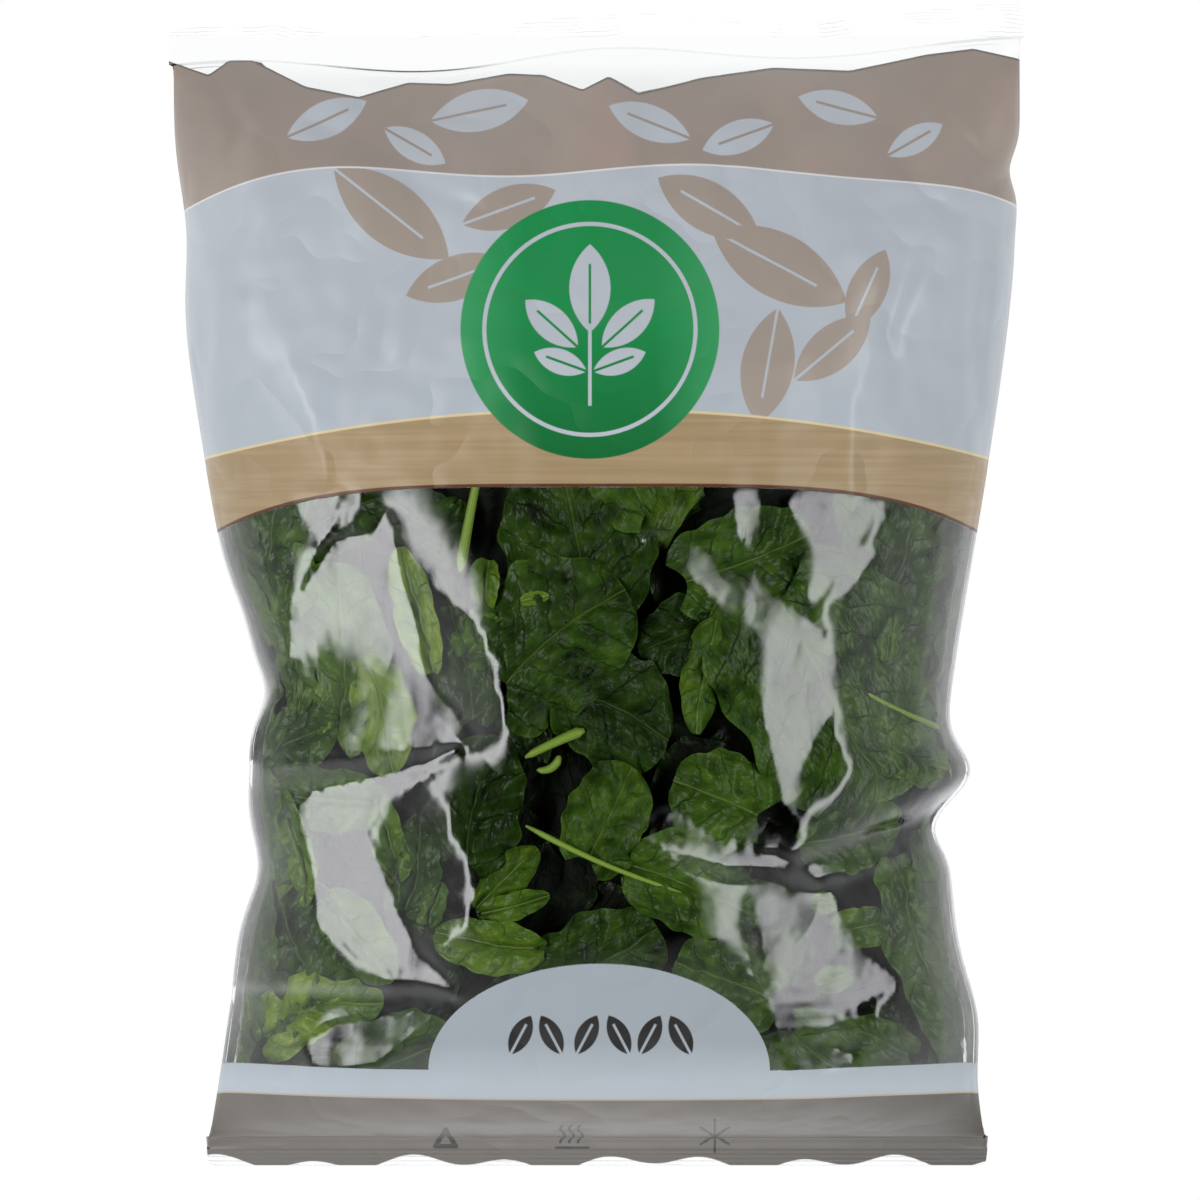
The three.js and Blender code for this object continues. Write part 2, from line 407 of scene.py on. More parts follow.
# The print lies as it is seen from straight above, but bends with each wrinkle of the film
edge_ends = np.zeros(len(film_mesh.edges) * 2, np.int32)
film_mesh.edges.foreach_get("vertices", edge_ends)
edge_ends = edge_ends.reshape(-1, 2)
drift = settled[:, :2] - start[:, :2]
joined = np.bincount(edge_ends.ravel(), minlength=len(drift))[:, None]
for _ in range(40):
    around = np.zeros_like(drift)
    np.add.at(around, edge_ends[:, 0], drift[edge_ends[:, 1]])
    np.add.at(around, edge_ends[:, 1], drift[edge_ends[:, 0]])
    drift = around / joined
seen_larger = (EYE_HEIGHT - SIDE_HEIGHT * MM) / (EYE_HEIGHT - start[:, 2:])
printed = (start[:, :2] + drift) * seen_larger


def inside(corners, x, y):
    found = np.zeros(x.shape, bool)
    for (x1, y1), (x2, y2) in zip(corners, corners[1:] + corners[:1]):
        crossing = (x2 - x1) * (y - y1) / ((y2 - y1) or 1e-9) + x1
        found ^= ((y1 > y) != (y2 > y)) & (x < crossing)
    return found


def calmed(heights, times):
    for _ in range(times):
        heights[1:-1] = 0.5 * heights[1:-1] + 0.25 * (heights[2:] + heights[:-2])
        heights[:, 1:-1] = 0.5 * heights[:, 1:-1] + 0.25 * (heights[:, 2:] + heights[:, :-2])
    return heights


class Face:
    """How far the face is moved up or down so that it leans towards the lights where it shines."""

    LOW, HIGH, REACH, STEP = -194.0, 184.0, 150.0, 1.5
    SHINING_SLOPE, INNER_SLOPE, OUTER_SLOPE = 0.39, 0.21, 0.54
    SHINING_WEIGHT = 12.0
    SLOPES_BELOW = 75  # how far up the bag its slopes are set out from the middle to the sides

    def __init__(self, mesh):
        bm = bmesh.new()
        bm.from_mesh(mesh)
        tree = BVHTree.FromBMesh(bm)
        bm.free()
        step = self.STEP
        across, along = np.arange(-self.REACH, self.REACH + 0.1, step), np.arange(self.LOW, self.HIGH, step)
        x, y = np.meshgrid(across, along)
        whole = np.full(x.shape, float(SIDE_HEIGHT))
        for j, i in np.ndindex(x.shape):
            hit = tree.ray_cast(Vector((x[j, i] * MM, y[j, i] * MM, 0.3)), Vector((0, 0, -1)))[0]
            if hit:
                whole[j, i] = hit.z / MM
        calm = calmed(whole.copy(), 24)
        level = calm
        ends = np.clip(np.minimum(y - BODY_BOTTOM, BODY_TOP - y) / 25, 0, 1)
        calm = calm - fold_dip(x, y) * ends
        shining = np.zeros(x.shape, bool)
        for corners in SHINE:
            shining |= inside(corners, x, y)
        near = calmed(shining.astype(float), 4)
        want_x, want_y = np.gradient(calm, step, axis=1), np.gradient(calm, step, axis=0)
        lean = self.SHINING_SLOPE - 0.00055 * np.abs(x)
        lean = lean + 0.016 * np.sin(x / 2.6 + 2.2 * np.sin(y / 19)) + 0.014 * np.sin(x / 1.7 - y / 8 + 2)
        for j in range(len(y)):
            if y[j, 0] < self.SLOPES_BELOW:
                for side in (-1, 1):
                    reach = 0.88 * half_width(y[j, 0], side)
                    ring = np.flatnonzero((x[j] * side >= 0) & (abs(x[j]) < reach))
                    ring = ring[np.argsort(abs(x[j, ring]))]
                    drop = calm[j, ring[0]] - calm[j, ring[-1]]
                    slopes = self.profile(abs(x[j, ring]), drop, shining[j, ring], lean[j, ring])
                    want_x[j, ring] = -side * slopes
        want_x = np.where(shining, -np.sign(x) * lean, want_x)
        want_y = np.where(shining, np.clip(want_y, -0.12, 0.16), want_y)
        weight = np.where(shining, self.SHINING_WEIGHT, 1 - 0.85 * np.minimum(near * 2, 1))
        outline = np.array([[half_width(v, -1), half_width(v, 1)] for v in y[:, 0]])
        rim = np.where(x < 0, outline[:, :1], outline[:, 1:])
        margin = np.minimum(np.minimum(0.99 * rim - np.abs(x), y - self.LOW), self.HIGH - y)
        hold = 0.0004 + 0.5 * np.clip(1 - margin / 5, 0, 1) ** 2
        self.shift = self.leaned(calm, want_x, want_y, weight, hold, step) - level
        self.shift -= (whole - level) * np.where(shining, 0.9, np.where(y < 40, 0.45, 0.1))

    def profile(self, out, drop, shining, lean):
        """Slopes from the middle outwards that lose the given height but keep clear of the shining slope."""
        for turn in np.arange(118, 6, -3.0):
            inward = np.minimum(0.2 * (out / 60) ** 1.2, self.INNER_SLOPE)
            outward = self.OUTER_SLOPE + 0.006 * (out - turn)
            slopes = np.where(shining, lean, np.where(out < turn, inward, outward))
            if slopes.sum() * self.STEP >= drop:
                break
        return slopes

    @staticmethod
    def leaned(calm, want_x, want_y, weight, hold, step):
        """Heights whose slopes come closest to the wanted ones, by conjugate gradients."""
        across, along = (weight[:, 1:] + weight[:, :-1]) / 2, (weight[1:] + weight[:-1]) / 2

        def back(flow_x, flow_y):
            out = np.zeros_like(calm)
            out[:, 1:] += flow_x
            out[:, :-1] -= flow_x
            out[1:] += flow_y
            out[:-1] -= flow_y
            return out

        def pull(h):
            return back(across * np.diff(h, axis=1), along * np.diff(h, axis=0)) / step**2 + hold * h

        flow_x = across * (want_x[:, 1:] + want_x[:, :-1]) / 2
        flow_y = along * (want_y[1:] + want_y[:-1]) / 2
        heights = calm.copy()
        left = back(flow_x, flow_y) / step + hold * calm - pull(heights)
        way, size = left.copy(), (left * left).sum()
        for _ in range(400):
            pulled = pull(way)
            go = size / (way * pulled).sum()
            heights += go * way
            left -= go * pulled
            size, before = (left * left).sum(), size
            if size < 1e-9:
                break
            way = left + size / before * way
        return heights

    def at(self, x, y):
        """The move at a place on the face, all in millimetres."""
        row, column = (y - self.LOW) / self.STEP, (x + self.REACH) / self.STEP
        rows, columns = self.shift.shape
        if not (0 <= row < rows - 1 and 0 <= column < columns - 1):
            return 0
        return blended(self.shift, row, column, lambda i: (i, i + 1))


face_lean = Face(film_mesh)


class Skin:
    """The film's inside as a smooth ring: across the face, round the right side and back across the back."""

    def __init__(self):
        step = FLAT_WIDTH / COLUMNS
        self.around = 2 * COLUMNS
        grid = np.zeros((ROWS + 1, self.around, 3))
        for k in range(len(settled)):
            along = (flat_y[k] - BOTTOM_SEAL) / FLAT_BODY * ROWS
            if not -SAME < along < ROWS + SAME:
                continue
            row, column = round(along), round((flat_x[k] + FLAT_WIDTH / 2) / step)
            if sheet[k] > 0:
                grid[row, column] = settled[k]
                grid[row, column, 2] += face_lean.at(settled[k][0] / MM, settled[k][1] / MM) * MM
            if sheet[k] < 0 or column in (0, COLUMNS) or row in (0, ROWS):
                grid[row, (self.around - column) % self.around] = settled[k]
        for _ in range(5):
            beside = (np.roll(grid, 1, 1) + np.roll(grid, -1, 1)) / 2
            grid[1:-1] = 0.4 * grid[1:-1] + 0.3 * beside[1:-1] + 0.15 * (grid[2:] + grid[:-2])
        run_across = np.roll(grid, -1, 1) - np.roll(grid, 1, 1)
        run_along = np.gradient(grid, axis=0)
        outward = np.cross(run_across, run_along)
        outward /= np.linalg.norm(outward, axis=2, keepdims=True) + 1e-12
        self.grid, self.outward = grid, outward

    def at(self, s, t, depth):
        """The point under the film at s across and t along, both on the film and in millimetres."""
        column = (s / FLAT_WIDTH + 0.5) * COLUMNS
        row = clamp(t / FLAT_BODY * ROWS, 0, ROWS - 1e-4)
        point, out = (
            blended(grid, row, column, lambda i: (i % self.around, (i + 1) % self.around))
            for grid in (self.grid, self.outward)
        )
        out /= math.sqrt(out @ out) + 1e-12
        return point - out * depth * MM

    def under(self, x, y):
        """Where on the film a place on the face lies, for x and y in millimetres as seen from above."""
        face = self.grid[:, : COLUMNS + 1]
        seen = face[:, :, :2] * (EYE_HEIGHT - SIDE_HEIGHT * MM) / (EYE_HEIGHT - face[:, :, 2:])
        gap = (seen[:, :, 0] - x * MM) ** 2 + (seen[:, :, 1] - y * MM) ** 2
        row, column = np.unravel_index(np.argmin(gap), gap.shape)
        return (column / COLUMNS - 0.5) * FLAT_WIDTH, row / ROWS * FLAT_BODY


skin = Skin()


def in_window(x, y, face):
    """True well inside the clear window, for a place on the print in millimetres."""
    share = abs(x) / 140
    under_dome = face and abs(x) < 62 and y < -126
    return -158 < y < 29 - 22 * share**4.5 and not under_dome


def finished_film():
    """The settled film with its print's place on it: the fine face, its clear window and the coarser back."""
    place = film_mesh.uv_layers.new(name="print")
    for corner in film_mesh.loops:
        place.data[corner.index].uv = printed[corner.vertex_index]
    film = bpy.data.objects.new("film_face", film_mesh)
    bpy.context.scene.collection.objects.link(film)
    finer = film.modifiers.new("finer", "SUBSURF")
    finer.levels = finer.render_levels = 1
    fine = bpy.data.meshes.new_from_object(film.evaluated_get(bpy.context.evaluated_depsgraph_get()))
    bpy.data.objects.remove(film)
    made = {}
    for name in ("film_face", "film_back"):
        sign = 1 if name == "film_face" else -1
        bm = bmesh.new()
        bm.from_mesh(fine)
        side = bm.verts.layers.float["side"]
        other = [f for f in bm.faces if sum(v[side] for v in f.verts) * sign < 0.01 * sign]
        bmesh.ops.delete(bm, geom=other, context="FACES")
        if sign > 0:
            bmesh.ops.subdivide_edges(bm, edges=bm.edges, cuts=1, use_grid_fill=True, smooth=1.0)
            for v in bm.verts:
                v.co.z += face_lean.at(v.co.x / MM, v.co.y / MM) * MM
        uv = bm.loops.layers.uv["print"]
        for v in bm.verts:
            v.co.z = max(v.co.z, LOWEST)
        for f in bm.faces:
            f.smooth = True
            spots = [corner[uv].uv / MM for corner in f.loops]
            f.material_index = int(all(in_window(q.x, q.y, sign > 0) for q in spots))
        made[name] = placed(name, bm)
    return made["film_face"], made["film_back"]


film_face, film_back = finished_film()

# The leaves

BROAD, LONG = "broad", "long"
SEAL_CLEAR = 10  # how far the leaves stay from the bottom seal, in millimetres along the film
NEAR_FILM = 1.1  # how close a leaf may come to the film before it is pressed flat, in millimetres


class Tray:
    """One kind of leaf or stalk, all in one mesh."""

    def __init__(self, name):
        self.name = name
        self.bm = bmesh.new()
        self.place = self.bm.loops.layers.uv.new("leaf")
        self.tone = self.bm.verts.layers.float.new("tone")
        self.own = self.bm.verts.layers.float.new("own")

    def grid(self, across, along):
        return bmesh.ops.create_grid(self.bm, x_segments=across, y_segments=along, size=0.5)["verts"]

    def lay(self, verts, spots, places_on_leaf, tone, own, rim_highlight=None):
        # A rim highlight, when given, is painted into the tone of the edge vertices.
        for v, spot, more in zip(verts, spots, rim_highlight or [0] * len(verts)):
            v.co = spot
            v[self.tone], v[self.own] = tone + more, own
        where = dict(zip(verts, places_on_leaf))
        for f in {f for v in verts for f in v.link_faces}:
            f.smooth = True
            for corner in f.loops:
                corner[self.place].uv = where[corner.vert]


def leaf(tray, s, t, points, length, width, tone, depth, own, cells, fold=0.0, cup=0.0, lean=(0.0, 0.0),
         kind=BROAD, ruffle=1.0, stalk=None):
    """Lays one leaf under the film. Its tip points so many degrees from +X, and depth is below the film."""
    draw = random.Random(round(own * 99991) + round(s * 7) + round(t * 13))
    turn = math.radians(points - 90)
    cos, sin = math.cos(turn), math.sin(turn)
    blunt, early = (2.25, 0.78) if kind == BROAD else (2.0, 0.86)
    lobe = 0.16 if kind == BROAD else 0.04
    starts = [draw.uniform(0, math.tau) for _ in range(4)]
    swing = draw.uniform(-0.1, 0.1)
    offset = Vector((draw.uniform(-50, 50), draw.uniform(-50, 50), draw.uniform(-50, 50)))
    veins = length / 9.0
    verts = tray.grid(*cells)
    spots, on_leaf = [], []
    for v in verts:
        a, b = 0.015 + 0.975 * (v.co.y + 0.5), v.co.x * 2
        breadth = (1 - abs(2 * a**early - 1) ** blunt) ** (1 / blunt)
        edge = 1 + 0.045 * math.sin(math.tau * 2.3 * a + starts[0] + (2 if b > 0 else 0))
        edge += 0.03 * math.sin(math.tau * 5.1 * a + starts[1] * b)
        x = width / 2 * b * breadth * edge
        y = length * (a - 0.5) - lobe * width * abs(b) ** 1.4 * (1 - a) ** 3
        middle = swing * math.sin(math.pi * a) * width * 0.6
        # Blisters between the side veins, the sunken middle vein, and the ruffled rim
        from_vein = abs(x) / (0.12 * width)
        slope = (y + length / 2 - abs(x) * 0.75) / length * veins
        blister = abs(math.sin(math.pi * slope)) ** 0.7 * min(1, from_vein) * (1 - abs(b) ** 3)
        rough = noise.noise(Vector((x / 9, y / 9, 0)) + offset)
        rough += 0.5 * noise.noise(Vector((x / 4, y / 4, 3)) + offset)
        z = ruffle * (1.9 * blister + 2.1 * rough) - 0.9 * math.exp(-((x / 1.6) ** 2)) * (1 - 0.6 * a)
        z += ruffle * 0.045 * width * abs(b) ** 2.2 * math.sin(math.tau * 3 * a + starts[2] + 1.7 * (b > 0))
        z += fold * abs(x) + cup * (x * x + 0.4 * y * y) / width * 2
        z += lean[0] * x + lean[1] * y
        under = depth + 1.2 - z
        if under < NEAR_FILM + 1:
            under = NEAR_FILM + math.exp(under - NEAR_FILM - 1)
        px, py = x + middle, y
        spots.append(skin.at(s + px * cos - py * sin, max(SEAL_CLEAR, t + px * sin + py * cos), under))
        on_leaf.append((x / 100, (y + length / 2) / 100))
    # The leaf's outer edge is painted paler by 0.13 of tone: a painted highlight where light catches the rim.
    rims = [0.13 if abs(v.co.x) > 0.499 or v.co.y > 0.499 else 0 for v in verts]
    tray.lay(verts, spots, on_leaf, tone, own, rims)
    if stalk:
        base = Vector((s, t)) + Vector((sin, -cos)) * (length * 0.5 - 1.5)
        far = base + Vector((sin, -cos)) * stalk
        stem(base, far, depth + 1.0, 1.1 + 0.018 * width, tone, own, draw.uniform(-4, 4))


def stem(near, far, depth, radius, tone, own, sway=0.0, deeper=2.0):
    """A leaf stalk between two places under the film: a round rod with blunt ends, wider at its cut end."""
    run = far - near
    beside = Vector((-run.y, run.x)).normalized()
    verts = stalks.grid(8, 9)
    spots, on_leaf = [], []
    for v in verts:
        along, angle = v.co.y + 0.5, v.co.x * math.tau
        round_off = math.sqrt(clamp(min(along, 1 - along) * 14 + 0.15))
        size = radius * (0.8 + 0.45 * along) * min(1, round_off)
        at = near + run * along + beside * (sway * math.sin(math.pi * along) + size * math.sin(angle))
        under = max(1.0 + size, depth + deeper * along) - size * math.cos(angle)
        spots.append(skin.at(at.x, max(SEAL_CLEAR, at.y), under))
        on_leaf.append((v.co.x, along * run.length / 100))
    stalks.lay(verts, spots, on_leaf, tone, own)


broad_leaves, long_leaves, small_leaves, stalks = (
    Tray(name) for name in ("broad_leaves", "long_leaves", "small_leaves", "leaf_stalks")
)

# The leaves that show best in the window. Each has its place on the face, where its tip points, its
# length and width, its tone from dark to yellow, which also paints shade on the deeper ones, and its depth
# below the film.
SHOWN = (
    (-8.5, 19, 100, 62, 66, 0.24, 3.2, dict(ruffle=1.2, cup=-0.05)),
    (-12.6, -20.7, 35, 64, 58, 0.27, 2.0, dict(ruffle=1.1, lean=(0, 0.03))),
    (9, -47, -25, 48, 48, 0.17, 4.5, dict(lean=(0, -0.05))),
    (-39, -20, 45, 24, 20, 0.5, 2.0, dict(cup=-0.25)),
    (-40.5, -1.4, -100, 21, 14, 0.7, 3.0, dict(kind=LONG, fold=0.25)),
    (-62, -8, 95, 48, 18, 0.86, 2.0, dict(kind=LONG, fold=0.3)),
    (-64, 23, 150, 36, 28, 0.2, 3.0, dict(cup=-0.12)),
    (-54, 16, 60, 28, 17, 0.3, 4.0, dict(cup=-0.2)),
    (-54, -7, -80, 38, 16, 0.2, 6.0, dict(kind=LONG, fold=-0.2)),
    (-73, -47, -70, 46, 27, 0.84, 1.6, dict(kind=LONG)),
    (-89, -22, 80, 66, 42, 0.5, 3.0, dict()),
    (-112, 8, 75, 56, 36, 0.36, 2.2, dict()),
    (-104, 1, 60, 34, 20, 0.5, 1.6, dict(kind=LONG)),
    (-107, -25, -85, 42, 20, 0.45, 2.2, dict(kind=LONG)),
    (-87, 24, 20, 38, 28, 0.2, 3.4, dict()),
    (-29, -48, 120, 32, 27, 0.1, 8.0, dict()),
    (-40, -73, 70, 50, 46, 0.15, 3.6, dict(ruffle=1.3)),
    (-98, -71, 175, 60, 25, 0.45, 2.0, dict(kind=LONG)),
    (-22, -4.5, 10, 12, 5, 0.8, -0.6, dict(kind=LONG, ruffle=0.1)),
    (31, -20, 200, 40, 34, 0.12, 7.0, dict()),
    (52, 10, 20, 56, 44, 0.36, 4.2, dict(cup=-0.05)),
    (39, -33, -100, 44, 17, 0.52, 2.2, dict(kind=LONG, fold=-0.5)),
    (79, -43, -60, 92, 82, 0.36, 2.0, dict(ruffle=0.9)),
    (105, 2, 80, 70, 58, 0.3, 3.4, dict()),
    (100, -17, 90, 18, 10, 0.6, 1.4, dict(kind=LONG)),
    (96, -27, -60, 22, 14, 0.42, 2.4, dict()),
    (110, -40, 85, 44, 34, 0.46, 3.2, dict()),
    (112, -57, -30, 34, 24, 0.5, 3.0, dict(fold=0.2)),
    (43, -73, 160, 44, 38, 0.46, 3.2, dict()),
    (6, -76, 60, 42, 38, 0.42, 3.8, dict(ruffle=1.4)),
    (-101, -91, -75, 46, 14, 0.66, 1.6, dict(kind=LONG, fold=0.3)),
    (-71, -87, 100, 38, 16, 0.6, 3.0, dict(kind=LONG)),
    (-108, -124, 120, 56, 50, 0.26, 3.2, dict()),
    (-84, -121, -45, 48, 23, 0.5, 2.2, dict(kind=LONG)),
    (-102, -148, 35, 38, 28, 0.82, 2.2, dict(ruffle=1.4)),
    (-85, -142, 0, 28, 17, 0.6, 1.6, dict()),
    (-58, -107, 80, 18, 12, 0.5, 3.0, dict()),
    (-32, -100, 42, 37, 17, 0.56, 2.6, dict(kind=LONG, cup=-0.35)),
    (-38, -123, 172, 52, 23, 0.64, 3.4, dict(kind=LONG, fold=0.45)),
    (-2, -133, 30, 64, 50, 0.26, 4.4, dict(ruffle=1.1)),
    (-27, -110, 15, 30, 11, 0.6, 2.6, dict(kind=LONG, fold=0.3)),
    (32, -104, -22, 58, 38, 0.42, 2.4, dict(kind=LONG, ruffle=0.8)),
    (43, -138, 160, 40, 34, 0.42, 2.8, dict(ruffle=1.3)),
    (80, -109, 0, 10, 9, 0.5, 1.6, dict()),
    (94, -118, 10, 23, 16, 0.5, 1.8, dict()),
    (114, -127, -80, 76, 31, 0.42, 2.2, dict(kind=LONG)),
    (83, -134, 20, 15, 10, 0.5, 2.0, dict()),
    (96, -157, 150, 28, 19, 0.42, 2.2, dict()),
    (60, -120, 100, 44, 40, 0.2, 6.0, dict()),
    (86, -85, 10, 46, 24, 0.34, 2.2, dict(kind=LONG)),
    (-49, -26, 100, 48, 30, 0.22, 4.6, dict()),
    (-106, -55, 20, 44, 30, 0.3, 2.6, dict()),
    (-63, -97, 80, 40, 24, 0.28, 4.4, dict()),
)


def lay_shown_leaves():
    draw = random.Random(11)
    for x, y, points, length, width, tone, depth, more in SHOWN:
        s, t = skin.under(x, y)
        if depth >= 3 and abs(x) < 75:
            length, width = 0.92 * length, 0.9 * width  # the dark gaps between them show
        size = max(length, width)
        tray = small_leaves if size < 32 else long_leaves if more.get("kind") == LONG else broad_leaves
        cells = (16, 20) if size < 32 else (38, 44) if size > 45 else (26, 32)
        own = draw.random()
        leaf(tray, s, t, points, length, width, tone=tone, depth=depth, cells=cells, own=own, **more)


# Bare stalks in the window: both ends on the face, thickness, tone, depth
SHOWN_STALKS = (
    ((-42, 34), (-47.6, 5), 3.6, 0.55, 2.6),
    ((-26.5, -58.5), (-2.4, -50.7), 3.4, 0.66, 2.0),
    ((-21, -63), (-12.6, -58.5), 3.0, 0.66, 3.0),
    ((30, -106), (-26, -82), 2.0, 0.8, 2.2),
    ((92, -36), (119, -50), 2.0, 0.6, 2.0),
)


def lay_shown_stalks():
    draw = random.Random(3)
    for near, far, thickness, tone, depth in SHOWN_STALKS:
        a, b = (Vector(skin.under(*end)) for end in (near, far))
        stem(a, b, depth, thickness / 2, tone, draw.random(), draw.uniform(-2, 2), deeper=0.5)


# The rest of the heap: depth below the film, spacing, and how much painted shade darkens its leaves
LAYERS = ((4.5, 33, 0.0), (9.5, 34, 0.1), (15.0, 38, 0.16))
RIM_LEAVES = 13  # along each side
HEAP_START, HEAP_END = 12, 262  # along the film
SUNK = 5.5  # how much deeper the heap's leaves lie under the leaves that are shown
SHADE_SHEET_DEPTH = 21  # of the near-black sheet of painted shade under the heap, below the film
SHOWN_LEFT, SHOWN_RIGHT, SHOWN_LOW, SHOWN_HIGH = -124, 126, -164, 34


def lay_heap():
    draw = random.Random(23)
    for layer, (depth, pitch, painted_shade) in enumerate(LAYERS):
        rows = int(HEAP_END / pitch)
        columns = int(2 * FLAT_WIDTH / pitch)
        for j in range(rows):
            for i in range(columns):
                s = (i + 0.5 * (j % 2) + draw.uniform(-0.35, 0.35)) * pitch - FLAT_WIDTH / 2
                t = HEAP_START + (j + 0.5 + draw.uniform(-0.35, 0.35)) * (HEAP_END - HEAP_START) / rows
                point = skin.at(s, t, 0) / MM
                shown = (
                    -FLAT_WIDTH / 2 < s < FLAT_WIDTH / 2
                    and SHOWN_LEFT < point[0] < SHOWN_RIGHT
                    and SHOWN_LOW < point[1] < SHOWN_HIGH
                )
                size, long, look = draw.uniform(34, 64), draw.random() < 0.35, draw.random()
                turn = draw.uniform(0, 360)
                tone = draw.uniform(0.1, 0.45) if look < 0.9 else draw.uniform(0.5, 0.75)
                lean = (draw.uniform(-0.12, 0.12), draw.uniform(-0.12, 0.12))
                fold, cup, has_stalk = draw.uniform(-0.15, 0.3), draw.uniform(-0.18, 0.1), draw.random() < 0.4
                lift = draw.uniform(-2, 2)
                if shown and layer == 0:
                    continue
                # Under the shown leaves the heap is painted near black by tone 0: painted shade in the gaps
                # between them.
                if shown:
                    lift, tone = lift + SUNK, 0.0
                has_stalk = has_stalk and abs(s) > FLAT_WIDTH / 2
                tray, kind, narrow = (long_leaves, LONG, 0.5) if long else (broad_leaves, BROAD, 0.88)
                leaf(
                    tray, s, t, turn, size, size * narrow, tone=max(0.0, tone - painted_shade),
                    depth=max(1.8, depth + lift), fold=fold if long else fold * 0.3, cup=cup, lean=lean,
                    kind=kind, cells=(12, 16) if layer == 0 else (8, 12), own=draw.random(),
                    stalk=draw.uniform(12, 34) if has_stalk else None,
                )


def lay_rims():
    """Narrow leaves along the two sides, where the film turns, which fill the bag out to its outline."""
    draw = random.Random(41)
    for side in (-1, 1):
        for k in range(RIM_LEAVES):
            t = 14 + (HEAP_END - 30) * (k + draw.uniform(0.2, 0.8)) / RIM_LEAVES
            s = side * (FLAT_WIDTH / 2 + draw.uniform(-10, 16))
            length = draw.uniform(34, 54)
            leaf(
                long_leaves, s, t, 90 + draw.uniform(-35, 35), length, length * draw.uniform(0.45, 0.65),
                tone=draw.uniform(0.12, 0.4), depth=draw.uniform(-0.4, 1.0), cup=-0.1, cells=(12, 16),
                kind=LONG, own=draw.random(),
            )


lay_shown_leaves()
lay_shown_stalks()
lay_heap()
lay_rims()


def kept_inside(bm, wall, clear):
    """Moves what pokes through the film back to just under it."""
    for v in bm.verts:
        near, out = wall.find_nearest(v.co, 0.02)[:2]
        if near is not None and (v.co - near).dot(out) > -clear:
            v.co = near - out * clear


def film_wall():
    points, faces = [], []
    for half in (film_face, film_back):
        first = len(points)
        points += [v.co.copy() for v in half.data.vertices]
        faces += [tuple(k + first for k in f.vertices) for f in half.data.polygons]
    return BVHTree.FromPolygons(points, faces)


wall = film_wall()


def closed_tray(tray):
    """The finished piece of one kind: stalks closed at their ends, and all of it kept just under the film."""
    bm = tray.bm
    if tray is stalks:
        bmesh.ops.remove_doubles(bm, verts=bm.verts, dist=0.00002)
        rims = [e for e in bm.edges if e.is_boundary]
        bmesh.ops.holes_fill(bm, edges=rims, sides=12)
        bmesh.ops.recalc_face_normals(bm, faces=bm.faces)
    kept_inside(bm, wall, FILM_CLEAR)
    return placed(tray.name, bm)


leaf_pieces = {tray.name: closed_tray(tray) for tray in (broad_leaves, long_leaves, small_leaves, stalks)}


def heap_shade_sheet():
    """A near-black sheet under the heap's leaves: painted shade that closes the gaps between them."""
    bm = bmesh.new()
    across, along = 48, 40
    verts = bmesh.ops.create_grid(bm, x_segments=across, y_segments=along, size=0.5)["verts"]
    for v in verts:
        s = v.co.x * 2 * FLAT_WIDTH + FLAT_WIDTH / 2
        t = 22 + (v.co.y + 0.5) * (HEAP_END - 30)
        v.co = skin.at(s, t, SHADE_SHEET_DEPTH + 3 * noise.noise(Vector((s / 25, t / 25, 0))))
    bmesh.ops.remove_doubles(bm, verts=bm.verts, dist=0.0002)
    bmesh.ops.holes_fill(bm, edges=[e for e in bm.edges if e.is_boundary], sides=0)
    bmesh.ops.triangulate(bm, faces=[f for f in bm.faces if len(f.verts) > 4])
    bmesh.ops.recalc_face_normals(bm, faces=bm.faces)
    for f in bm.faces:
        f.smooth = True
    return placed("heap_shade_sheet", bm)


shade_sheet = heap_shade_sheet()

# Materials


class Sum:
    """A number or a socket's value, with its arithmetic done by Math nodes."""

    def __init__(self, paint, value):
        self.paint, self.value = paint, value

    def past(self, edge, soft):
        """0 below the edge and 1 above it, with a ramp of the given width."""
        return self.paint.number("MULTIPLY_ADD", self, 1 / soft, 0.5 - edge / soft, clamped=True)

    def short_of(self, edge, soft):
        """1 below the edge and 0 above it, with a ramp of the given width."""
        return self.paint.number("MULTIPLY_ADD", self, -1 / soft, 0.5 + edge / soft, clamped=True)


def sum_step(work, turned=False):
    def done(self, *others):
        return self.paint.number(work, *((*others, self) if turned else (self, *others)))

    return done


for step, work in (
    ("__add__", "ADD"), ("__radd__", "ADD"), ("__sub__", "SUBTRACT"), ("__mul__", "MULTIPLY"),
    ("__rmul__", "MULTIPLY"), ("__truediv__", "DIVIDE"), ("__pow__", "POWER"), ("__abs__", "ABSOLUTE"),
    ("sin", "SINE"), ("root", "SQRT"), ("least", "MINIMUM"), ("most", "MAXIMUM"),
):
    setattr(Sum, step, sum_step(work))
Sum.__rsub__ = sum_step("SUBTRACT", turned=True)


